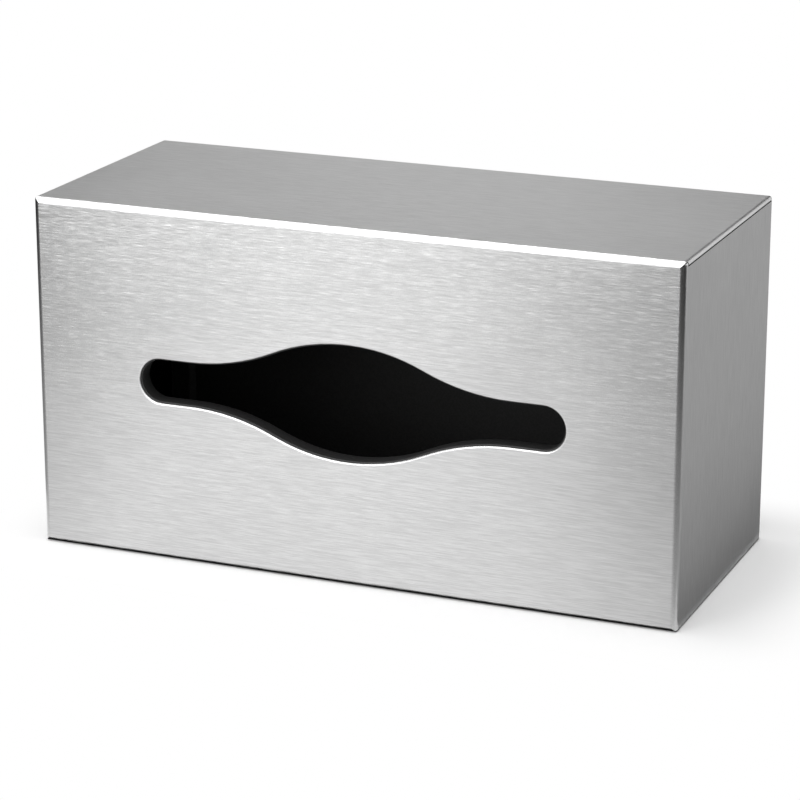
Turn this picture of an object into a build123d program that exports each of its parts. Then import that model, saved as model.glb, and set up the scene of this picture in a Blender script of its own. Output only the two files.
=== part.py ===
from build123d import *
import os

# Dispenser for a box of facial tissues, stainless steel, millimetres.
# It stands on Z = 0 with its front towards -Y and its back plane towards +Y.
# A folded cover holds the tissue box and carries a black rim behind its pull slot.
# The cover slides up off a flat wall plate, which closes its back.

os.makedirs("parts", exist_ok=True)

# Cover, folded from one sheet
cover_width = 267.0
cover_depth = 114.0
cover_height = 143.0
sheet = 1.0
front_bend_inside = 1.5
side_bend_inside = 0.5
rear_bend_inside = 1.5
rear_flange_width = 10.0
seam_gap = 0.5
mitre_gap = 0.35
corner_relief = 0.6
base_seam_gap = 0.3
base_edge_radius = 0.8

# Pull slot in the front panel
slot_length = 177.0
slot_neck_height = 18.0
slot_bulge_height = 46.8
slot_straight = 12.7
slot_crown_radius = 76.0
slot_above_middle = 2.2
slot_edge_radius = 0.8

# Moulded rim behind the slot
rim_reveal = 0.5
rim_wall = 1.6
rim_depth = 7.0
rim_flange_width = 8.0
rim_flange_thickness = 1.5
rim_edge_radius = 0.45

# Wall plate
plate = 1.2
plate_bend_inside = 0.6
plate_lip_depth = 5.5
plate_corner_radius = 3.0
joggle_run = 2.6
screw_hole_diameter = 5.0
screw_from_side = 19.0
screw_above_base = 16.0
screw_below_top = 15.1

# Clearances between the cover and the wall plate
slide_clearance = 0.3
top_clearance = 0.3
side_clearance = 1.2
lip_clearance = 0.5

# Sizes that follow from the ones above
half_width = cover_width / 2
half_depth = cover_depth / 2
front_bend = front_bend_inside + sheet
side_bend = side_bend_inside + sheet
rear_bend = rear_bend_inside + sheet
plate_bend = plate_bend_inside + plate
slot_height = cover_height / 2 + slot_above_middle
base_rear_edge = half_depth - plate_lip_depth - lip_clearance
flange_end = cover_height - rear_flange_width
seam_top = cover_height - side_bend
past = 1.0


def folded_block(inset, base_edge):
    """A closed block with the cover's bends, its faces set in from the cover's outside.

    The bends run round the corners of the top wall, and meet there as pressed corners do.
    """
    width = cover_width - 2 * inset
    depth = cover_depth - 2 * inset
    height = cover_height - 2 * inset
    with BuildPart() as block:
        with BuildSketch(Plane.XY.offset(inset)) as plan:
            Rectangle(width, depth)
            fillet(plan.vertices().group_by(Axis.Y)[0], radius=front_bend - inset)
            fillet(plan.vertices().group_by(Axis.Y)[-1], radius=rear_bend - inset)
        extrude(amount=height)
        fillet(block.edges().group_by(Axis.Z)[-1], radius=side_bend - inset)
        if base_edge:
            fillet(block.edges().group_by(Axis.Z)[0], radius=base_edge)
        with BuildSketch(Plane.YZ) as profile:
            with Locations((0, cover_height / 2)):
                Rectangle(depth, height)
            fillet(profile.vertices().group_by(Axis.X)[0], radius=front_bend - inset)
            upper_rear = profile.vertices().group_by(Axis.X)[-1].sort_by(Axis.Y)[-1]
            fillet(upper_rear, radius=rear_bend - inset)
        extrude(amount=cover_width, both=True, mode=Mode.INTERSECT)
    return block.part


def slot_outline(grow):
    """The slot's outline grown all round: round ends, straight necks and a bulged middle.

    Two tangent arcs lead from the crown of the bulge down to the neck. The first has the
    crown radius, and the second takes what is left of the sum that makes them meet.
    """
    neck = slot_neck_height / 2
    rise = (slot_bulge_height - slot_neck_height) / 2
    end_centre = slot_length / 2 - neck
    shoulder = end_centre - slot_straight
    sum_of_radii = (shoulder**2 + rise**2) / (2 * rise)
    crown_share = slot_crown_radius / sum_of_radii
    turn = (shoulder * crown_share, neck + rise * (1 - crown_share))
    with BuildSketch() as outline:
        with BuildLine():
            TangentArc((0, neck + rise), turn, tangent=(1, 0))
            TangentArc((shoulder, neck), turn, tangent=(-1, 0))
            Line((shoulder, neck), (end_centre, neck))
            TangentArc((end_centre, neck), (slot_length / 2, 0), tangent=(1, 0))
            mirror(about=Plane.XZ)
            mirror(about=Plane.YZ)
        make_face()
        if grow:
            offset(amount=grow, kind=Kind.ARC, mode=Mode.REPLACE)
    return outline.sketch


outer_block = folded_block(0, base_edge_radius)
inner_block = folded_block(sheet, 0)
front_plane = Plane(origin=(0, -half_depth, slot_height), x_dir=(1, 0, 0), z_dir=(0, -1, 0))
panel_back = front_plane.offset(-sheet)
slot = slot_outline(0)
rim_opening = slot_outline(-rim_reveal)
rim_outside = slot_outline(rim_wall - rim_reveal)
rim_flange = slot_outline(rim_flange_width)

# Folded cover with its front panel, four walls and return flanges round the open back
with BuildPart() as front_cover:
    add(outer_block)
    add(inner_block, mode=Mode.SUBTRACT)

    # Open back, with the return flanges left along the top and both sides
    with BuildSketch(Plane.XZ.offset(-half_depth + sheet)):
        with Locations((0, flange_end / 2)):
            Rectangle(cover_width - 2 * rear_flange_width, flange_end)
    extrude(amount=-sheet, mode=Mode.SUBTRACT)

    # The bottom wall stops short of the wall plate, so that the cover can rise past it
    with BuildSketch():
        with Locations((0, (base_rear_edge + half_depth - sheet) / 2)):
            Rectangle(cover_width - 2 * sheet, half_depth - sheet - base_rear_edge)
    extrude(amount=sheet, mode=Mode.SUBTRACT)

    for side in (-1, 1):
        # Seam where the top wall rolls down over the side wall
        seam_front = -half_depth + front_bend
        with BuildSketch(Plane.YZ.offset(side * (half_width - side_bend))):
            with Locations(((seam_front + half_depth + past) / 2, seam_top - seam_gap / 2)):
                Rectangle(half_depth + past - seam_front, seam_gap)
            with Locations((seam_front, cover_height - (side_bend + seam_gap + sheet / 2) / 2)):
                Rectangle(corner_relief, side_bend + seam_gap - sheet / 2)
        extrude(amount=side * (side_bend + past), mode=Mode.SUBTRACT)

        # Mitred gap across the bends at the upper front corner
        with BuildSketch(Plane.XZ.offset(half_depth - front_bend)):
            with Locations((side * (half_width - front_bend / 2), cover_height - front_bend / 2)):
                Rectangle(front_bend * 2**0.5, mitre_gap, rotation=side * 45)
        extrude(amount=front_bend, mode=Mode.SUBTRACT)

        # Seam under the cover, between the bottom wall and the side wall
        base_seam = side * (half_width - sheet - base_seam_gap / 2)
        with BuildSketch():
            with Locations((base_seam, (seam_front + base_rear_edge) / 2)):
                Rectangle(base_seam_gap, base_rear_edge - seam_front)
        extrude(amount=sheet, mode=Mode.SUBTRACT)

        # Gaps that part the top return flange from the side one
        flange_side = half_width - rear_bend
        with BuildSketch(Plane.XZ.offset(-half_depth + rear_bend)):
            with Locations((side * (flange_side - rear_flange_width / 2), flange_end - seam_gap / 2)):
                Rectangle(rear_flange_width, seam_gap)
            with Locations((side * (flange_side - seam_gap / 2), (flange_end - seam_gap + seam_top) / 2)):
                Rectangle(seam_gap, seam_top - flange_end + seam_gap)
        extrude(amount=-rear_bend, mode=Mode.SUBTRACT)

    # Pull slot with a rounded front edge
    with BuildSketch(front_plane):
        add(slot)
    extrude(amount=-sheet, mode=Mode.SUBTRACT)
    front_face = front_cover.faces().filter_by(Axis.Y).sort_by(Axis.Y)[0]
    fillet(front_face.inner_wires()[0].edges(), radius=min(slot_edge_radius, 0.85 * sheet))

# Black moulded rim, its flange bonded to the back of the front panel
with BuildPart() as slot_rim:
    with BuildSketch(panel_back):
        add(rim_flange)
        add(rim_opening, mode=Mode.SUBTRACT)
    extrude(amount=-rim_flange_thickness)
    with BuildSketch(panel_back):
        add(rim_outside)
        add(rim_opening, mode=Mode.SUBTRACT)
    extrude(amount=-rim_depth)
    rim_front = slot_rim.faces().filter_by(Axis.Y).sort_by(Axis.Y)[0]
    fillet(rim_front.inner_wires()[0].edges(), radius=rim_edge_radius)

# Wall plate, its side edges joggled forwards so that the cover's return flanges slide behind them
raised_back = half_depth - sheet - slide_clearance
joggle_outer = half_width - rear_flange_width - slide_clearance
joggle_inner = joggle_outer - joggle_run
plate_edge = half_width - sheet - side_clearance
plate_top = flange_end - top_clearance
with BuildPart() as wall_plate:
    with BuildSketch(Plane.XY.offset(plate_bend)):
        with BuildLine():
            FilletPolyline(
                (-plate_edge, raised_back),
                (-joggle_outer, raised_back),
                (-joggle_inner, half_depth),
                (joggle_inner, half_depth),
                (joggle_outer, raised_back),
                (plate_edge, raised_back),
                radius=[plate_bend_inside, plate_bend, plate_bend, plate_bend_inside],
            )
            offset(amount=plate, side=Side.RIGHT)
        make_face()
    extrude(amount=plate_top - plate_bend)
    top_corners = wall_plate.edges().filter_by(Axis.Y).group_by(Axis.Z)[-1]
    fillet(top_corners, radius=plate_corner_radius)

    # Bottom lip, bent forwards until it meets the cover's bottom wall
    with BuildSketch(Plane.YZ):
        with BuildLine():
            FilletPolyline(
                (half_depth, plate_bend + plate),
                (half_depth, 0),
                (half_depth - plate_lip_depth, 0),
                radius=plate_bend,
            )
            offset(amount=plate, side=Side.RIGHT)
        make_face()
    extrude(amount=joggle_inner - plate_bend, both=True)

    # Screw holes, at their distances from the edges of the flat middle
    screw_side = joggle_inner - screw_from_side
    screw_heights = (screw_above_base, plate_top - screw_below_top)
    with BuildSketch(Plane.XZ.offset(-half_depth)):
        with Locations([(side * screw_side, height) for side in (-1, 1) for height in screw_heights]):
            Circle(screw_hole_diameter / 2)
    extrude(amount=plate, mode=Mode.SUBTRACT)

for name, built in (("front_cover", front_cover), ("slot_rim", slot_rim), ("wall_plate", wall_plate)):
    built.part.label = name
    export_step(built.part, f"parts/{name}.step")
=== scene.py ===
"""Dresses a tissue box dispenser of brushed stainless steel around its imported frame.

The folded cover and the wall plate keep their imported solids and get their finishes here. The black
rim behind the pull slot is swept again along the slot's outline, with the fine rounds of a moulding.
Everything is in metres: +Z is up, and -Y leads out of the front panel.
"""

import logging
import math
from dataclasses import dataclass
from enum import Enum
from typing import Any

import bpy
from mathutils import Matrix, Vector


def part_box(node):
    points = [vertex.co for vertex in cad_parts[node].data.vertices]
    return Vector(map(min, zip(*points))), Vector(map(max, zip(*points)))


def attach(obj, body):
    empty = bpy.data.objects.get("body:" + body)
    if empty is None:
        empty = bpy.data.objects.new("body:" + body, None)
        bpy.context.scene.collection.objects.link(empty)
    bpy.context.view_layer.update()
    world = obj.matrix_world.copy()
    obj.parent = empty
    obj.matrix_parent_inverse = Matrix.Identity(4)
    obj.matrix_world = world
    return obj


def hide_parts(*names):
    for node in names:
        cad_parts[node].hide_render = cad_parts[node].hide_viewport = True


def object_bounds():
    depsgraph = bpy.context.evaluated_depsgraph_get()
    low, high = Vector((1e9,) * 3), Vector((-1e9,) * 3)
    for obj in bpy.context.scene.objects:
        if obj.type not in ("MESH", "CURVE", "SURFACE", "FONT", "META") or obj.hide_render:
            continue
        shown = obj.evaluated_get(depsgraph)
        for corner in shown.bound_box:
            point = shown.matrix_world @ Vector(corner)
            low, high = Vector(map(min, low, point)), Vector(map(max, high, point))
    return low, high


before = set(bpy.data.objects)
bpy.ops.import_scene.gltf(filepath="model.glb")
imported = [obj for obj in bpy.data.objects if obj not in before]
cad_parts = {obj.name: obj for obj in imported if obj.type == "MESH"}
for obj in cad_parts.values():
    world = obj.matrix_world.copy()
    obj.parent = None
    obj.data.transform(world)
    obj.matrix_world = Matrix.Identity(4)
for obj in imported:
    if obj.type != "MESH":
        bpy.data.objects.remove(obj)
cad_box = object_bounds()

log = logging.getLogger("dispenser")

MM = 0.001

# The cover's outer faces, read from the frame, and the outer radius of its upright front bends
HALF_WIDTH, HALF_DEPTH, HEIGHT = cad_box[1]
FRONT_BEND = 2.5 * MM

# The middle of a noise texture's values, and the stretches where broad and fine ones mostly lie
NOISE_MIDDLE = 0.5
BROAD_NOISE = (0.3, 0.7)
FINE_NOISE = (0.35, 0.65)


class Body(Enum):
    """The bodies that pieces ride on."""

    COVER = "cover"
    MOUNTING = "mounting"


class Slot(Enum):
    """The record's material slots."""

    STEEL = "brushed_steel"
    PLASTIC = "black_plastic"
    PAINT = "black_paint"


class NodeSheet:
    """Writes nodes and links into one node tree, from left to right."""

    COLUMN = 180.0

    def __init__(self, tree: bpy.types.NodeTree) -> None:
        """Starts a sheet on a tree.

        Args:
            tree: The node tree that the nodes go into.
        """
        self.tree = tree
        self.count = 0

    def add(self, kind: str, inputs: dict[str | int, Any] | None = None, **settings: Any) -> bpy.types.Node:
        """Adds a node, then sets its properties and inputs.

        Args:
            kind: The node's type name.
            inputs: A value or an output socket for each input, by name or index.
            **settings: The node's own properties.

        Returns:
            The new node.
        """
        node = self.tree.nodes.new(kind)
        node.location = (self.count * self.COLUMN, 0.0)
        self.count += 1
        for name, value in settings.items():
            setattr(node, name, value)
        for name, value in (inputs or {}).items():
            self.feed(node.inputs[name], value)
        return node

    def feed(self, socket: bpy.types.NodeSocket, value: Any) -> None:
        """Links an output socket to an input, or sets the input's own value.

        Args:
            socket: The input.
            value: An output socket, a number, a tuple, or a data-block.
        """
        if isinstance(value, bpy.types.NodeSocket):
            self.tree.links.new(value, socket)
        else:
            socket.default_value = value

    def math(self, operation: str, *values: Any) -> bpy.types.NodeSocket:
        """Adds a Math node and returns its output.

        Args:
            operation: The Math node's operation.
            *values: Its operands, as numbers or sockets.

        Returns:
            The node's result.
        """
        inputs = dict(enumerate(values))
        return self.add("ShaderNodeMath", inputs, operation=operation).outputs[0]

    def vector(self, operation: str, *values: Any) -> bpy.types.NodeSocket:
        """Adds a Vector Math node and returns its output.

        Args:
            operation: The Vector Math node's operation.
            *values: Its operands, as tuples or sockets.

        Returns:
            The node's result, a number for a dot product or a length.
        """
        node = self.add("ShaderNodeVectorMath", dict(enumerate(values)), operation=operation)
        wants_number = operation in ("DOT_PRODUCT", "LENGTH", "DISTANCE")
        return node.outputs["Value" if wants_number else "Vector"]

    def scale(self, vector: Any, factor: Any) -> bpy.types.NodeSocket:
        """Returns a vector times a number.

        Args:
            vector: The vector, as a tuple or a socket.
            factor: The number, or a socket.

        Returns:
            The scaled vector.
        """
        node = self.add("ShaderNodeVectorMath", {0: vector, "Scale": factor}, operation="SCALE")
        return node.outputs["Vector"]

    def grey(self, tone: Any) -> bpy.types.NodeSocket:
        """Returns the grey colour of a tone."""
        channels = {"Red": tone, "Green": tone, "Blue": tone}
        return self.add("ShaderNodeCombineColor", channels).outputs["Color"]

    def remap(self, value: Any, low: float, high: float, to_low: Any, to_high: Any) -> bpy.types.NodeSocket:
        """Adds a smooth Map Range node, clamped at both ends.

        Args:
            value: What is mapped.
            low: The value that gives to_low.
            high: The value that gives to_high.
            to_low: The result at the low end.
            to_high: The result at the high end.

        Returns:
            The mapped value.
        """
        inputs = {"Value": value, "From Min": low, "From Max": high, "To Min": to_low, "To Max": to_high}
        node = self.add("ShaderNodeMapRange", inputs, interpolation_type="SMOOTHSTEP")
        return node.outputs["Result"]


def new_group(
    name: str, inputs: dict[str, tuple[str, Any]], outputs: dict[str, str]
) -> tuple[bpy.types.NodeTree, NodeSheet, bpy.types.Node, bpy.types.Node]:
    """Starts a shader node group with its named sockets.

    Args:
        name: The group's name.
        inputs: For each input, its socket kind and its default.
        outputs: For each output, its socket kind.

    Returns:
        The group, its sheet, its input node and its output node.
    """
    tree = bpy.data.node_groups.new(name, "ShaderNodeTree")
    for label, (kind, default) in inputs.items():
        socket = tree.interface.new_socket(label, in_out="INPUT", socket_type=kind)
        socket.default_value = default
    for label, kind in outputs.items():
        tree.interface.new_socket(label, in_out="OUTPUT", socket_type=kind)
    sheet = NodeSheet(tree)
    return tree, sheet, sheet.add("NodeGroupInput"), sheet.add("NodeGroupOutput")


class ShaderGroups:
    """The surface effects of the finishes, each built once."""

    FLOAT = "NodeSocketFloat"
    VECTOR = "NodeSocketVector"

    # How strong each finer octave of the scratches is, and how many octaves the patches and the grain have
    SCRATCH_OCTAVE = 0.6
    CLOUD_DETAIL = 3.0
    STIPPLE_DETAIL = 2.0

    def __init__(self) -> None:
        """Builds every group."""
        self.grain = self._grain()
        self.cloudiness = self._cloudiness()
        self.stipple = self._stipple()
        self.within = self._within()

    def _grain(self) -> bpy.types.NodeTree:
        """Brushing: short scratches along one direction, which tilt the surface across it.

        Returns:
            The group, with outputs Normal and Tone.
        """
        inputs = {
            "Position": (self.VECTOR, (0.0, 0.0, 0.0)),
            "Surface Normal": (self.VECTOR, (0.0, 0.0, 1.0)),
            "Bent Normal": (self.VECTOR, (0.0, 0.0, 1.0)),
            "Grain": (self.VECTOR, (1.0, 0.0, 0.0)),
            "Scratch Length": (self.FLOAT, 0.01),
            "Scratch Width": (self.FLOAT, 0.0003),
            "Tilt": (self.FLOAT, 0.1),
            "Detail": (self.FLOAT, 2.0),
        }
        outputs = {"Normal": self.VECTOR, "Tone": self.FLOAT}
        tree, sheet, given, result = new_group("brushed_grain", inputs, outputs)
        taken = given.outputs
        along = sheet.vector("DOT_PRODUCT", taken["Position"], taken["Grain"])
        shrink = sheet.math("DIVIDE", taken["Scratch Width"], taken["Scratch Length"])
        excess = sheet.math("SUBTRACT", 1.0, shrink)
        cut = sheet.scale(taken["Grain"], sheet.math("MULTIPLY", along, excess))
        squeezed = sheet.vector("SUBTRACT", taken["Position"], cut)
        scratches = {
            "Vector": squeezed,
            "Scale": sheet.math("DIVIDE", 1.0, taken["Scratch Width"]),
            "Detail": taken["Detail"],
            "Roughness": self.SCRATCH_OCTAVE,
        }
        tone = sheet.add("ShaderNodeTexNoise", scratches).outputs["Fac"]
        across = sheet.vector("CROSS_PRODUCT", taken["Surface Normal"], taken["Grain"])
        swing = sheet.math("MULTIPLY", sheet.math("SUBTRACT", tone, NOISE_MIDDLE), taken["Tilt"])
        bent = sheet.vector("ADD", taken["Bent Normal"], sheet.scale(across, swing))
        sheet.feed(result.inputs["Normal"], sheet.vector("NORMALIZE", bent))
        sheet.feed(result.inputs["Tone"], tone)
        return tree

    def _cloudiness(self) -> bpy.types.NodeTree:
        """Broad, faint patches, as handling and rolling leave.

        Returns:
            The group, with the output Mask.
        """
        inputs = {"Position": (self.VECTOR, (0.0, 0.0, 0.0)), "Patch Size": (self.FLOAT, 0.05)}
        tree, sheet, given, result = new_group("cloudiness", inputs, {"Mask": self.FLOAT})
        patches = {
            "Vector": given.outputs["Position"],
            "Scale": sheet.math("DIVIDE", 1.0, given.outputs["Patch Size"]),
            "Detail": self.CLOUD_DETAIL,
        }
        noise = sheet.add("ShaderNodeTexNoise", patches)
        sheet.feed(result.inputs["Mask"], sheet.remap(noise.outputs["Fac"], *BROAD_NOISE, 0.0, 1.0))
        return tree

    def _stipple(self) -> bpy.types.NodeTree:
        """The fine, even grain of moulded plastic and of powder paint.

        Returns:
            The group, with outputs Height and Mask.
        """
        inputs = {"Position": (self.VECTOR, (0.0, 0.0, 0.0)), "Grain Size": (self.FLOAT, 0.0004)}
        outputs = {"Height": self.FLOAT, "Mask": self.FLOAT}
        tree, sheet, given, result = new_group("stipple", inputs, outputs)
        grain = {
            "Vector": given.outputs["Position"],
            "Scale": sheet.math("DIVIDE", 1.0, given.outputs["Grain Size"]),
            "Detail": self.STIPPLE_DETAIL,
        }
        noise = sheet.add("ShaderNodeTexNoise", grain)
        sheet.feed(result.inputs["Height"], noise.outputs["Fac"])
        sheet.feed(result.inputs["Mask"], sheet.remap(noise.outputs["Fac"], *FINE_NOISE, 0.0, 1.0))
        return tree

    def _within(self) -> bpy.types.NodeTree:
        """A mask of what lies inside a box.

        Returns:
            The group, with the output Mask.
        """
        inputs = {
            "Position": (self.VECTOR, (0.0, 0.0, 0.0)),
            "Low": (self.VECTOR, (0.0, 0.0, 0.0)),
            "High": (self.VECTOR, (1.0, 1.0, 1.0)),
        }
        tree, sheet, given, result = new_group("within_box", inputs, {"Mask": self.FLOAT})
        taken = given.outputs
        above = sheet.vector("SUBTRACT", taken["Position"], taken["Low"])
        below = sheet.vector("SUBTRACT", taken["High"], taken["Position"])
        depth = sheet.add("ShaderNodeSeparateXYZ", {0: sheet.vector("MINIMUM", above, below)}).outputs
        least = sheet.math("MINIMUM", sheet.math("MINIMUM", depth["X"], depth["Y"]), depth["Z"])
        sheet.feed(result.inputs["Mask"], sheet.math("GREATER_THAN", least, 0.0))
        return tree


def blank_material(name: str) -> tuple[bpy.types.Material, NodeSheet]:
    """Starts a material without nodes.

    Args:
        name: The material's name.

    Returns:
        The material and its sheet.
    """
    material = bpy.data.materials.new(name)
    material.use_nodes = True
    material.node_tree.nodes.clear()
    return material, NodeSheet(material.node_tree)


def new_material(name: str) -> tuple[bpy.types.Material, NodeSheet, bpy.types.Node]:
    """Starts a material with one Principled BSDF.

    Args:
        name: The material's name.

    Returns:
        The material, its sheet and its Principled BSDF.
    """
    material, sheet = blank_material(name)
    principled = sheet.add("ShaderNodeBsdfPrincipled")
    sheet.add("ShaderNodeOutputMaterial", {"Surface": principled.outputs["BSDF"]})
    return material, sheet, principled


def add_to_scene(name: str, data: bpy.types.ID) -> bpy.types.Object:
    """Makes an object of a mesh, a light or a camera, and puts it in the scene.

    Args:
        name: The object's name.
        data: What it shows.

    Returns:
        The object, at the origin.
    """
    added = bpy.data.objects.new(name, data)
    bpy.context.scene.collection.objects.link(added)
    return added


@dataclass(frozen=True)
class Brushing:
    """One layer of scratches: how long, how wide, how far their flanks lean, and their octaves."""

    length: float
    width: float
    tilt: float
    detail: float = 2.0


@dataclass(frozen=True)
class DarkPlace:
    """A box inside the cover's outer faces where no light reaches, painted black as shade, by its distance
    from each face.
    """

    sides: float
    front: float
    back: float
    base: float
    top: float

    def corners(self) -> tuple[tuple[float, float, float], tuple[float, float, float]]:
        """Returns the box's lowest and highest corners."""
        low = (self.sides - HALF_WIDTH, self.front - HALF_DEPTH, self.base)
        return low, (HALF_WIDTH - self.sides, HALF_DEPTH - self.back, HEIGHT - self.top)


# Painted shade: black painted on the room inside the sheet, the gaps under the top wall's rolled sides, and
# the slits at their front ends
INSIDE_PAINTED_SHADE = DarkPlace(sides=0.9 * MM, front=0.85 * MM, back=0.85 * MM, base=0.85 * MM, top=0.85 * MM)
TOP_SEAM_PAINTED_SHADE = DarkPlace(
    sides=0.05 * MM,
    front=2.4 * MM,
    back=0.2 * MM,
    base=HEIGHT - 2.05 * MM,
    top=1.45 * MM,
)
RELIEF_SLIT_PAINTED_SHADE = DarkPlace(
    sides=0.1 * MM,
    front=2.15 * MM,
    back=2 * HALF_DEPTH - 2.85 * MM,
    base=HEIGHT - 2.1 * MM,
    top=0.4 * MM,
)


@dataclass(frozen=True)
class BrushedSteel:
    """Stainless steel brushed with an abrasive belt, with black painted as shade inside the cover and in
    its seams.

    The tone and the roughness swing about their middle values. Faces that turn sideways by more
    than side_turn are brushed up and down, and side_calm takes their scratches' tilt down.
    """

    tone: float = 0.62
    tone_swing: tuple[float, float] = (0.9, 1.08)
    roughness: float = 0.3
    roughness_swing: float = 0.02
    side_turn: float = 0.7
    side_calm: float = 0.6
    fine: Brushing = Brushing(6.0 * MM, 0.12 * MM, 0.6)
    broad: Brushing = Brushing(10.0 * MM, 0.28 * MM, 0.1)
    # The boxes where the colour is painted black as shade
    dark: tuple[DarkPlace, ...] = (INSIDE_PAINTED_SHADE, TOP_SEAM_PAINTED_SHADE, RELIEF_SLIT_PAINTED_SHADE)

    def build(self, groups: ShaderGroups) -> bpy.types.Material:
        """Writes the material.

        Args:
            groups: The shared effects.

        Returns:
            The finished material.
        """
        material, sheet, principled = new_material("steel_brushed")
        position = sheet.add("ShaderNodeTexCoord").outputs["Object"]
        normal = sheet.add("ShaderNodeNewGeometry").outputs["Normal"]
        sideways = sheet.math("ABSOLUTE", sheet.vector("DOT_PRODUCT", normal, (1.0, 0.0, 0.0)))
        on_side = sheet.math("GREATER_THAN", sideways, self.side_turn)
        along = sheet.add("ShaderNodeCombineXYZ", {"X": sheet.math("SUBTRACT", 1.0, on_side), "Z": on_side})
        surface = {"Position": position, "Surface Normal": normal, "Grain": along.outputs["Vector"]}
        calm = sheet.remap(on_side, 0.0, 1.0, 1.0, self.side_calm)
        fine = self._scratch(sheet, groups, {**surface, "Bent Normal": normal}, self.fine, calm)
        bent = fine.outputs["Normal"]
        broad = self._scratch(sheet, groups, {**surface, "Bent Normal": bent}, self.broad, calm)
        darkest, brightest = (self.tone * share for share in self.tone_swing)
        bright = sheet.remap(broad.outputs["Tone"], *BROAD_NOISE, darkest, brightest)
        # Painted shade: the colour is multiplied by nought inside the cover, in its seams and in the slits
        colour = sheet.math("MULTIPLY", bright, self._open(sheet, groups, position))
        sheet.feed(principled.inputs["Base Color"], sheet.grey(colour))
        clouds = sheet.add("ShaderNodeGroup", {"Position": position}, node_tree=groups.cloudiness)
        low, high = self.roughness - self.roughness_swing, self.roughness + self.roughness_swing
        sheet.feed(principled.inputs["Roughness"], sheet.remap(clouds.outputs["Mask"], 0.0, 1.0, low, high))
        sheet.feed(principled.inputs["Normal"], broad.outputs["Normal"])
        principled.inputs["Metallic"].default_value = 1.0
        return material

    def _open(
        self, sheet: NodeSheet, groups: ShaderGroups, position: bpy.types.NodeSocket
    ) -> bpy.types.NodeSocket:
        """Finds where the cover has no painted shade.

        Args:
            sheet: The material's sheet.
            groups: The shared effects.
            position: The object coordinates.

        Returns:
            Nought in the boxes painted black as shade, and one elsewhere.
        """
        painted_shade_mask: Any = 0.0
        for place in self.dark:
            low, high = place.corners()
            inputs = {"Position": position, "Low": low, "High": high}
            mask = sheet.add("ShaderNodeGroup", inputs, node_tree=groups.within)
            painted_shade_mask = sheet.math("MAXIMUM", painted_shade_mask, mask.outputs["Mask"])
        return sheet.math("SUBTRACT", 1.0, painted_shade_mask)

    def _scratch(
        self,
        sheet: NodeSheet,
        groups: ShaderGroups,
        surface: dict[str, bpy.types.NodeSocket],
        layer: Brushing,
        calm: bpy.types.NodeSocket,
    ) -> bpy.types.Node:
        """Places one layer of brushing, along the width, and up and down on the sides.

        Args:
            sheet: The material's sheet.
            groups: The shared effects.
            surface: The surface's position, normal and grain, and the normal that the layer bends on.
            layer: The scratches.
            calm: What the layer's tilt is multiplied by.

        Returns:
            The group node.
        """
        inputs = {
            **surface,
            "Scratch Length": layer.length,
            "Scratch Width": layer.width,
            "Tilt": sheet.math("MULTIPLY", calm, layer.tilt),
            "Detail": layer.detail,
        }
        return sheet.add("ShaderNodeGroup", inputs, node_tree=groups.grain)


@dataclass(frozen=True)
class MattBlack:
    """A black surface with a fine grain: moulded plastic, or powder paint."""

    name: str
    tone: float
    roughness: float
    grain_size: float
    grain_height: float
    tone_swing: tuple[float, float] = (0.8, 1.2)

    def build(self, groups: ShaderGroups) -> bpy.types.Material:
        """Writes the material.

        Args:
            groups: The shared effects.

        Returns:
            The finished material.
        """
        material, sheet, principled = new_material(self.name)
        position = sheet.add("ShaderNodeTexCoord").outputs["Object"]
        inputs = {"Position": position, "Grain Size": self.grain_size}
        stipple = sheet.add("ShaderNodeGroup", inputs, node_tree=groups.stipple)
        darkest, brightest = (self.tone * share for share in self.tone_swing)
        tone = sheet.remap(stipple.outputs["Mask"], 0.0, 1.0, darkest, brightest)
        sheet.feed(principled.inputs["Base Color"], sheet.grey(tone))
        relief = {"Height": stipple.outputs["Height"], "Distance": self.grain_height}
        bump = sheet.add("ShaderNodeBump", relief)
        sheet.feed(principled.inputs["Normal"], bump.outputs["Normal"])
        principled.inputs["Roughness"].default_value = self.roughness
        return material


MOULDED_PLASTIC = MattBlack(
    "plastic_moulded",
    tone=0.02,
    roughness=0.55,
    grain_size=0.5 * MM,
    grain_height=0.02 * MM,
)
POWDER_PAINT = MattBlack(
    "paint_powder",
    tone=0.02,
    roughness=0.6,
    grain_size=0.8 * MM,
    grain_height=0.05 * MM,
)


@dataclass
class PackedPiece:
    """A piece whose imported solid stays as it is, and only gets its finish."""

    node: str

    def dress(self, finish: bpy.types.Material) -> bpy.types.Object:
        """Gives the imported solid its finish.

        Args:
            finish: The material.

        Returns:
            The piece's object.
        """
        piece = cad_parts[self.node]
        piece.data.materials.clear()
        piece.data.materials.append(finish)
        return piece


@dataclass
class FoldedCover(PackedPiece):
    """The cover, folded from one sheet, with its pull slot."""

    node: str = "front_cover"


@dataclass
class WallPlate(PackedPiece):
    """The plate behind the cover."""

    node: str = "wall_plate"


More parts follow.
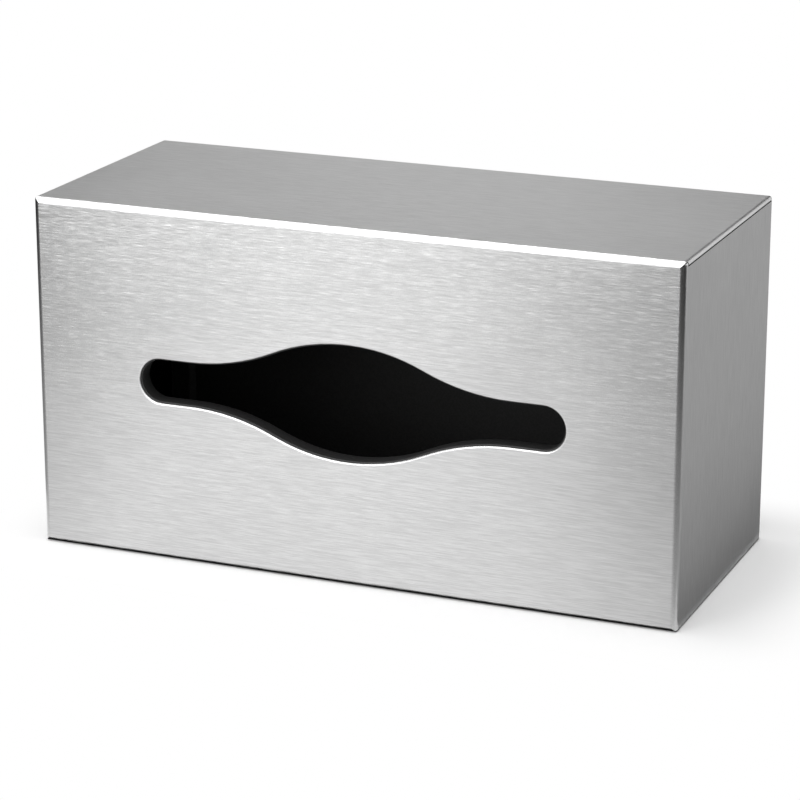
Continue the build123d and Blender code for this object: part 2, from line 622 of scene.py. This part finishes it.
@dataclass(frozen=True)
class SlotOutline:
    """The pull slot's outline: round ends, straight necks and a bulge of two tangent arcs a side."""

    length: float = 177.0 * MM
    neck_height: float = 18.0 * MM
    bulge_height: float = 46.8 * MM
    straight: float = 12.7 * MM
    crown_radius: float = 76.0 * MM
    arc_steps: int = 12

    def _arc(self, centre: tuple[float, float], radius: float, start: float, turn: float) -> list[Vector]:
        """Returns points along an arc.

        Args:
            centre: The arc's centre.
            radius: Its radius.
            start: The angle of its first point.
            turn: The angle from there to its last point.

        Returns:
            The points, both ends included.
        """
        points = []
        for step in range(self.arc_steps + 1):
            angle = start + turn * step / self.arc_steps
            x = centre[0] + radius * math.cos(angle)
            y = centre[1] + radius * math.sin(angle)
            points.append(Vector((x, y, 0.0)))
        return points

    def points(self) -> list[Vector]:
        """Draws a quarter of the outline from its right end to its crown, and mirrors it twice.

        Returns:
            The points of the closed outline, anticlockwise.
        """
        neck = self.neck_height / 2
        rise = (self.bulge_height - self.neck_height) / 2
        end_centre = self.length / 2 - neck
        shoulder = end_centre - self.straight
        radii = (shoulder**2 + rise**2) / (2 * rise)
        lower = radii - self.crown_radius
        crown_centre = neck + rise - self.crown_radius
        turn = math.asin(shoulder / radii)
        quarter = self._arc((end_centre, 0.0), neck, 0.0, math.pi / 2)
        quarter += self._arc((shoulder, neck + lower), lower, -math.pi / 2, -turn)
        quarter += self._arc((0.0, crown_centre), self.crown_radius, math.pi / 2 - turn, turn)[1:]
        half = quarter + [Vector((-point.x, point.y, 0.0)) for point in reversed(quarter[:-1])]
        return half + [Vector((point.x, -point.y, 0.0)) for point in reversed(half[1:-1])]


@dataclass
class SlotRim:
    """The moulded rim behind the slot: a wall round the opening and a flange behind the panel."""

    node: str = "slot_rim"
    outline: SlotOutline = SlotOutline()
    reveal: float = 0.5 * MM
    wall: float = 1.6 * MM
    depth: float = 7.0 * MM
    flange_width: float = 8.0 * MM
    flange_thickness: float = 1.5 * MM
    edge_round: float = 0.45 * MM
    round_steps: int = 4

    def build(self, plastic: bpy.types.Material) -> bpy.types.Object:
        """Sweeps the rim's section along the slot's outline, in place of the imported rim.

        Args:
            plastic: The moulded plastic.

        Returns:
            The rim's object.
        """
        low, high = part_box(self.node)
        points = self.outline.points()
        loop = bpy.data.meshes.new("slot_line")
        loop.from_pydata(points, [(n, (n + 1) % len(points)) for n in range(len(points))], [])
        holder = add_to_scene("slot_line", loop)
        sweep = holder.modifiers.new("rim_sweep", "NODES")
        sweep.node_group = self._tree()
        given = {
            "Reveal": self.reveal,
            "Wall": self.wall,
            "Depth": self.depth,
            "Flange Width": self.flange_width,
            "Flange Thickness": self.flange_thickness,
            "Edge Round": self.edge_round,
            "Round Steps": self.round_steps,
            "Material": plastic,
        }
        for item in sweep.node_group.interface.items_tree:
            if item.in_out == "INPUT" and item.name in given:
                sweep[item.identifier] = given[item.name]
        depsgraph = bpy.context.evaluated_depsgraph_get()
        mesh = bpy.data.meshes.new_from_object(holder.evaluated_get(depsgraph), depsgraph=depsgraph)
        holder.modifiers.remove(sweep)
        bpy.data.objects.remove(holder)
        middle = (low[2] + high[2]) / 2
        mesh.transform(Matrix.Translation((0.0, low[1], middle)) @ Matrix.Rotation(math.pi / 2, 4, "X"))
        mesh.name = "rim_moulded"
        rim = add_to_scene("rim_moulded", mesh)
        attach(rim, Body.COVER.value)
        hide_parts(self.node)
        return rim

    def _tree(self) -> bpy.types.NodeTree:
        """Writes the node tree that draws the rim's section and sweeps it.

        Returns:
            The tree.
        """
        tree = bpy.data.node_groups.new("rim_sweep", "GeometryNodeTree")
        tree.interface.new_socket("Outline", in_out="INPUT", socket_type="NodeSocketGeometry")
        for name in ("Reveal", "Wall", "Depth", "Flange Width", "Flange Thickness", "Edge Round"):
            tree.interface.new_socket(name, in_out="INPUT", socket_type="NodeSocketFloat")
        tree.interface.new_socket("Round Steps", in_out="INPUT", socket_type="NodeSocketInt")
        tree.interface.new_socket("Material", in_out="INPUT", socket_type="NodeSocketMaterial")
        tree.interface.new_socket("Rim", in_out="OUTPUT", socket_type="NodeSocketGeometry")
        sheet = NodeSheet(tree)
        taken = sheet.add("NodeGroupInput").outputs
        inner = sheet.math("MULTIPLY", taken["Reveal"], -1.0)
        outer = sheet.math("ADD", inner, taken["Wall"])
        corners = (
            (inner, 0.0),
            (taken["Flange Width"], 0.0),
            (taken["Flange Width"], taken["Flange Thickness"]),
            (outer, taken["Flange Thickness"]),
            (outer, taken["Depth"]),
            (inner, taken["Depth"]),
        )
        choice = sheet.add("GeometryNodeIndexSwitch", data_type="VECTOR")
        while len(choice.index_switch_items) < len(corners):
            choice.index_switch_items.new()
        sheet.feed(choice.inputs["Index"], sheet.add("GeometryNodeInputIndex").outputs["Index"])
        for number, (out, back) in enumerate(corners):
            corner = sheet.add("ShaderNodeCombineXYZ", {"X": out, "Y": back})
            sheet.feed(choice.inputs[str(number)], corner.outputs["Vector"])
        ring = sheet.add("GeometryNodeCurvePrimitiveCircle", {"Resolution": len(corners)}, mode="RADIUS")
        placed = {"Geometry": ring.outputs["Curve"], "Position": choice.outputs["Output"]}
        section = sheet.add("GeometryNodeSetPosition", placed)
        rounding = {
            "Curve": section.outputs["Geometry"],
            "Count": taken["Round Steps"],
            "Radius": taken["Edge Round"],
            "Limit Radius": True,
        }
        rounded = sheet.add("GeometryNodeFilletCurve", rounding, mode="POLY")
        line = sheet.add("GeometryNodeMeshToCurve", {"Mesh": taken["Outline"]})
        path = {"Curve": line.outputs["Curve"], "Profile Curve": rounded.outputs["Curve"]}
        swept = sheet.add("GeometryNodeCurveToMesh", path)
        smooth = sheet.add("GeometryNodeSetShadeSmooth", {"Geometry": swept.outputs["Mesh"]})
        real = sheet.add("GeometryNodeRealizeInstances", {"Geometry": smooth.outputs["Geometry"]})
        coated = {"Geometry": real.outputs["Geometry"], "Material": taken["Material"]}
        finish = sheet.add("GeometryNodeSetMaterial", coated)
        sheet.add("NodeGroupOutput", {"Rim": finish.outputs["Geometry"]})
        return tree


@dataclass(frozen=True)
class SoftLamp:
    """One rectangular soft light, aimed at a point."""

    name: str
    place: tuple[float, float, float]
    width: float
    height: float
    radiance: float
    aim: tuple[float, float, float] = (0.0, 0.0, 0.07)

    def build(self) -> bpy.types.Object:
        """Makes the lamp.

        Returns:
            The lamp's object.
        """
        data = bpy.data.lights.new(self.name, "AREA")
        data.shape = "RECTANGLE"
        data.size = self.width
        data.size_y = self.height
        data.energy = self.radiance * math.pi * self.width * self.height
        lamp = add_to_scene(self.name, data)
        lamp.location = self.place
        direction = Vector(self.aim) - Vector(self.place)
        lamp.rotation_euler = direction.to_track_quat("-Z", "Y").to_euler()
        lamp.visible_camera = False
        return lamp


TONE_ATTRIBUTE = "tone"
Shades = tuple[tuple[float, float], ...]


def shade_at(shades: Shades, place: float) -> float:
    """Returns the tone at a place, in a straight line between the two shades round it.

    Args:
        shades: Pairs of a place and its tone, in rising order.
        place: Where the tone is wanted.

    Returns:
        The tone.
    """
    if place <= shades[0][0]:
        return shades[0][1]
    for (low, tone), (high, next_tone) in zip(shades, shades[1:]):
        if place <= high:
            return tone + (next_tone - tone) * (place - low) / (high - low)
    return shades[-1][1]


@dataclass(frozen=True)
class Card:
    """A grey card that only reflections see. Its tone is a product of one along and one across it."""

    name: str
    along: Shades
    across: Shades

    def place(self, along: float, across: float) -> tuple[float, float, float]:
        """Returns a point of the card."""
        raise NotImplementedError

    def build(self, surface: bpy.types.Material) -> bpy.types.Object:
        """Makes the card.

        Args:
            surface: The material that shows the tones.

        Returns:
            The card's object.
        """
        columns = spread(self.along)
        rows = spread(self.across)
        points = [self.place(column, row) for row in rows for column in columns]
        column_tones = [shade_at(self.along, column) for column in columns]
        tones = [shade_at(self.across, row) * tone for row in rows for tone in column_tones]
        faces = []
        for row in range(len(rows) - 1):
            for column in range(len(columns) - 1):
                corner = row * len(columns) + column
                faces.append((corner, corner + 1, corner + len(columns) + 1, corner + len(columns)))
        mesh = bpy.data.meshes.new(self.name)
        mesh.from_pydata(points, [], faces)
        mesh.attributes.new(TONE_ATTRIBUTE, "FLOAT", "POINT").data.foreach_set("value", tones)
        mesh.materials.append(surface)
        card = add_to_scene(self.name, mesh)
        card.visible_camera = False
        card.visible_diffuse = False
        card.visible_shadow = False
        card.visible_transmission = False
        return card


def spread(shades: Shades, steps: int = 5) -> list[float]:
    """Puts more places evenly between those of the shades.

    Args:
        shades: Pairs of a place and its tone, in rising order.
        steps: How many places each stretch between two shades gets.

    Returns:
        All the places, in rising order.
    """
    places = [shades[0][0]]
    for (low, _), (high, _) in zip(shades, shades[1:]):
        places += [low + (high - low) * step / steps for step in range(1, steps + 1)]
    return places


@dataclass(frozen=True)
class CornerCard(Card):
    """A card curved round one of the upright front bends.

    Along is an angle in degrees from straight in front, positive to the right, and across is a
    height. The side is 1 for the right bend and -1 for the left one.
    """

    side: int = 1
    radius: float = 0.06

    def place(self, along: float, across: float) -> tuple[float, float, float]:
        """Finds a point of the card, round the bend's centre.

        Args:
            along: The angle.
            across: The height.

        Returns:
            The point.
        """
        angle = math.radians(along)
        x = self.side * (HALF_WIDTH - FRONT_BEND) + self.radius * math.sin(angle)
        y = FRONT_BEND - HALF_DEPTH - self.radius * math.cos(angle)
        return (x, y, across)


@dataclass(frozen=True)
class TableCard(Card):
    """A card that lies on the table: along is X, across is Y."""

    lift: float = 0.0004

    def place(self, along: float, across: float) -> tuple[float, float, float]:
        """Returns a point of the card."""
        return (along, across, self.lift)


@dataclass(frozen=True)
class FrontCard(Card):
    """A card on the table in front, laid out as the front panel's reflection of it.

    Along is an X on the panel and across a height on it: the card's point there is about the one
    that the panel mirrors to the camera. For each metre that the mirrored view comes down, it moves
    by the shift to the left and by the reach forwards. The flare widens the card near the panel.
    """

    shift: float = 1.23
    reach: float = 2.97
    flare: float = 0.5
    flare_height: float = 0.14
    lift: float = 0.0004

    def place(self, along: float, across: float) -> tuple[float, float, float]:
        """Returns a point of the card."""
        wide = 1.0 + self.flare * max(0.0, 1.0 - across / self.flare_height)
        return (along * wide - self.shift * across, -HALF_DEPTH - self.reach * across, self.lift)


@dataclass(frozen=True)
class BackCard(Card):
    """A card that stands upright behind the object, or far in front of it: along is X, across is Z."""

    y: float = 0.95

    def place(self, along: float, across: float) -> tuple[float, float, float]:
        """Returns a point of the card."""
        return (along, self.y, across)


def card_surface() -> bpy.types.Material:
    """Makes the cards' material, which shows the tone written on their points.

    Returns:
        The material.
    """
    material, sheet = blank_material("card_grey")
    tone = sheet.add("ShaderNodeAttribute", attribute_name=TONE_ATTRIBUTE).outputs["Fac"]
    glow = sheet.add("ShaderNodeEmission", {"Color": (1.0, 1.0, 1.0, 1.0), "Strength": tone})
    sheet.add("ShaderNodeOutputMaterial", {"Surface": glow.outputs["Emission"]})
    return material


LAMPS: tuple[SoftLamp, ...] = (
    SoftLamp("lamp_overhead", place=(-0.1, -0.1, 1.1), width=1.6, height=1.3, radiance=2.0),
    SoftLamp(
        "lamp_front_left",
        place=(-0.46, -1.0, 0.45),
        width=0.42,
        height=0.9,
        radiance=2.0,
        aim=(0.0, -HALF_DEPTH, 0.07),
    ),
)

# The shades up the cards at both front bends, and the shade that leaves a card even in one direction
BEND_SHADES = ((0.0, 0.42), (0.05, 0.25), (0.1, 0.08), (0.135, 0.0), (0.15, 0.0))
EVEN = 1.0

# How far the black card under the cover, a painted contact shadow that only reflections see, stands out
# from it, and the gap from the cover to the right card
CONTACT_SHADOW_EDGE = 0.9 * MM
RIGHT_GAP = 1.3 * MM

# The cards give the steel the light and dark zones of a studio
CARDS: tuple[Card, ...] = (
    CornerCard(
        "card_front_right",
        along=((-4.0, 2.0), (8.0, 1.2), (22.0, 0.9), (100.0, 0.9)),
        across=BEND_SHADES,
    ),
    CornerCard(
        "card_front_left",
        along=((-150.0, 1.0), (-60.0, 1.0), (-45.0, 1.5), (-38.0, 2.0)),
        across=BEND_SHADES,
        side=-1,
    ),
    FrontCard(
        "card_front",
        along=(
            (-0.3, 0.15),
            (-0.16, 0.32),
            (-0.11, 0.74),
            (-0.07, 1.03),
            (0.0, 1.06),
            (0.05, 1.0),
            (0.09, 0.74),
            (0.13, 0.34),
            (0.3, 0.15),
        ),
        across=((0.0008, 0.98), (0.03, 1.02), (0.08, 1.09), (0.16, 1.14), (0.28, 1.05)),
    ),
    # A grey card on the table right of the cover, with painted shadow: darker near the cover, as the table
    # lies in the cover's shade
    TableCard(
        "card_right",
        along=(
            (HALF_WIDTH + RIGHT_GAP, 0.17),
            (0.146, 0.23),
            (0.166, 0.32),
            (0.19, 0.41),
            (0.21, 0.44),
            (0.74, 0.44),
        ),
        across=((-0.05, EVEN), (0.9, EVEN)),
    ),
    # Painted shadow: a black card under the cover and just past its edges, standing in for the contact
    # shadow that the bends reflect
    TableCard(
        "card_contact_shadow",
        along=((-HALF_WIDTH - CONTACT_SHADOW_EDGE, 0.0), (HALF_WIDTH + CONTACT_SHADOW_EDGE, 0.0)),
        across=((-HALF_DEPTH - CONTACT_SHADOW_EDGE, EVEN), (HALF_DEPTH + CONTACT_SHADOW_EDGE, EVEN)),
        lift=0.0001,
    ),
    TableCard(
        "card_behind",
        along=((-1.3, 0.05), (0.13, 0.1)),
        across=((0.16, EVEN), (0.93, EVEN)),
    ),
    BackCard(
        "card_back_left",
        along=((-1.5, 0.05), (-0.62, 0.05)),
        across=((0.0, EVEN), (0.3, EVEN)),
        y=0.93,
    ),
    BackCard(
        "card_high",
        along=((-1.4, EVEN), (1.4, EVEN)),
        across=((0.35, 1.9), (1.6, 1.9)),
        y=-1.7,
    ),
    BackCard(
        "card_back",
        along=(
            (-0.8, 0.6),
            (-0.55, 0.88),
            (-0.4, 1.02),
            (-0.25, 0.98),
            (-0.05, 0.6),
            (0.08, 0.25),
            (0.2, 0.05),
            (0.34, 0.05),
        ),
        across=((0.0, 0.1), (0.2, 0.16), (0.32, 0.8), (0.5, 0.8), (0.62, 0.16), (1.1, 0.08)),
    ),
)


@dataclass
class Studio:
    """The pale table, its soft light and the camera.

    The floor is matt within shadow_reach of shadow_half round shadow_middle. The camera's focal
    length is given in pixels of a picture that is picture_pixels wide.
    """

    floor_half: float = 6.0
    shadow_middle: tuple[float, float, float] = (0.012, 0.008, 0.0)
    shadow_half: tuple[float, float, float] = (HALF_WIDTH, HALF_DEPTH, 0.0)
    shadow_reach: float = 0.045
    floor_tone: float = 0.98
    floor_glow: float = 0.1
    world_light: float = 0.35
    azimuth: float = 22.48
    pitch: float = 17.27
    camera_place: tuple[float, float, float] = (0.440, -1.067, 0.418)
    focal_pixels: float = 3021.0
    picture_pixels: float = 800.0
    sensor: float = 36.0
    lamps: tuple[SoftLamp, ...] = LAMPS
    cards: tuple[Card, ...] = CARDS

    def build_floor(self) -> bpy.types.Object:
        """Makes the table that the dispenser stands on.

        Returns:
            The floor's object.
        """
        half = self.floor_half
        mesh = bpy.data.meshes.new("floor")
        corners = [(-half, -half, 0.0), (half, -half, 0.0), (half, half, 0.0), (-half, half, 0.0)]
        mesh.from_pydata(corners, [], [(0, 1, 2, 3)])
        mesh.materials.append(self._floor_surface())
        floor = add_to_scene("floor", mesh)
        return floor

    def _floor_surface(self) -> bpy.types.Material:
        """Writes the floor's material: matt round the object, where its shadow falls, then plain white.

        Returns:
            The material.
        """
        material, sheet = blank_material("floor_white")
        white = (self.floor_tone, self.floor_tone, self.floor_tone, 1.0)
        matt = sheet.add("ShaderNodeBsdfDiffuse", {"Color": white}).outputs["BSDF"]
        plain = sheet.add("ShaderNodeEmission", {"Strength": 1.0}).outputs["Emission"]
        position = sheet.add("ShaderNodeTexCoord").outputs["Object"]
        offset = sheet.vector("ABSOLUTE", sheet.vector("SUBTRACT", position, self.shadow_middle))
        outside = sheet.vector("SUBTRACT", offset, self.shadow_half)
        beyond = sheet.vector("MAXIMUM", outside, (0.0, 0.0, 0.0))
        share = sheet.remap(sheet.vector("LENGTH", beyond), 0.0, self.shadow_reach, self.floor_glow, 1.0)
        seen = self._shows_background(sheet)
        mixture = {0: sheet.math("MULTIPLY", share, seen), 1: matt, 2: plain}
        mix = sheet.add("ShaderNodeMixShader", mixture)
        sheet.add("ShaderNodeOutputMaterial", {"Surface": mix.outputs["Shader"]})
        return material

    def _shows_background(self, sheet: NodeSheet) -> bpy.types.NodeSocket:
        """Finds the rays that show the background: the camera's, and those that metal and glass send on.

        Args:
            sheet: The sheet of the floor's material or of the world.

        Returns:
            One for such a ray, and nought for the rays that light the object.
        """
        path = sheet.add("ShaderNodeLightPath").outputs
        sent_on = sheet.math("MAXIMUM", path["Is Glossy Ray"], path["Is Transmission Ray"])
        return sheet.math("MAXIMUM", path["Is Camera Ray"], sent_on)

    def build_world(self) -> bpy.types.World:
        """Makes the surroundings: white where the camera or a reflection sees them.

        Returns:
            The world.
        """
        world = bpy.data.worlds.new("surroundings")
        world.use_nodes = True
        world.node_tree.nodes.clear()
        sheet = NodeSheet(world.node_tree)
        strength = sheet.remap(self._shows_background(sheet), 0.0, 1.0, self.world_light, 1.0)
        back = sheet.add("ShaderNodeBackground", {"Color": (1.0, 1.0, 1.0, 1.0), "Strength": strength})
        sheet.add("ShaderNodeOutputWorld", {"Surface": back.outputs["Background"]})
        bpy.context.scene.world = world
        return world

    def build_camera(self) -> bpy.types.Object:
        """Makes the camera at the photograph's view.

        Returns:
            The camera's object.
        """
        data = bpy.data.cameras.new("camera")
        data.sensor_width = self.sensor
        data.lens = self.sensor * (self.focal_pixels / self.picture_pixels)
        camera = add_to_scene("camera", data)
        camera.location = self.camera_place
        camera.rotation_euler = (math.radians(90.0 - self.pitch), 0.0, math.radians(self.azimuth))
        bpy.context.scene.camera = camera
        return camera

    def build_lamps(self) -> None:
        """Makes the soft lights and the cards round the table."""
        for lamp in self.lamps:
            lamp.build()
        surface = card_surface()
        for card in self.cards:
            card.build(surface)


def report(piece: bpy.types.Object, body: Body, slot: Slot) -> None:
    """Logs a finished piece, the body that it rides on and the slot of its finish."""
    log.info("%s rides on %s, finish %s", piece.name, body.value, slot.value)


def main() -> None:
    """Builds the pieces in order, then the studio."""
    logging.basicConfig(level=logging.INFO, format="%(message)s")
    bpy.context.scene.view_settings.view_transform = "Standard"
    groups = ShaderGroups()
    report(FoldedCover().dress(BrushedSteel().build(groups)), Body.COVER, Slot.STEEL)
    report(SlotRim().build(MOULDED_PLASTIC.build(groups)), Body.COVER, Slot.PLASTIC)
    report(WallPlate().dress(POWDER_PAINT.build(groups)), Body.MOUNTING, Slot.PAINT)
    studio = Studio()
    studio.build_floor()
    studio.build_world()
    studio.build_camera()
    studio.build_lamps()


if __name__ == "__main__":
    main()
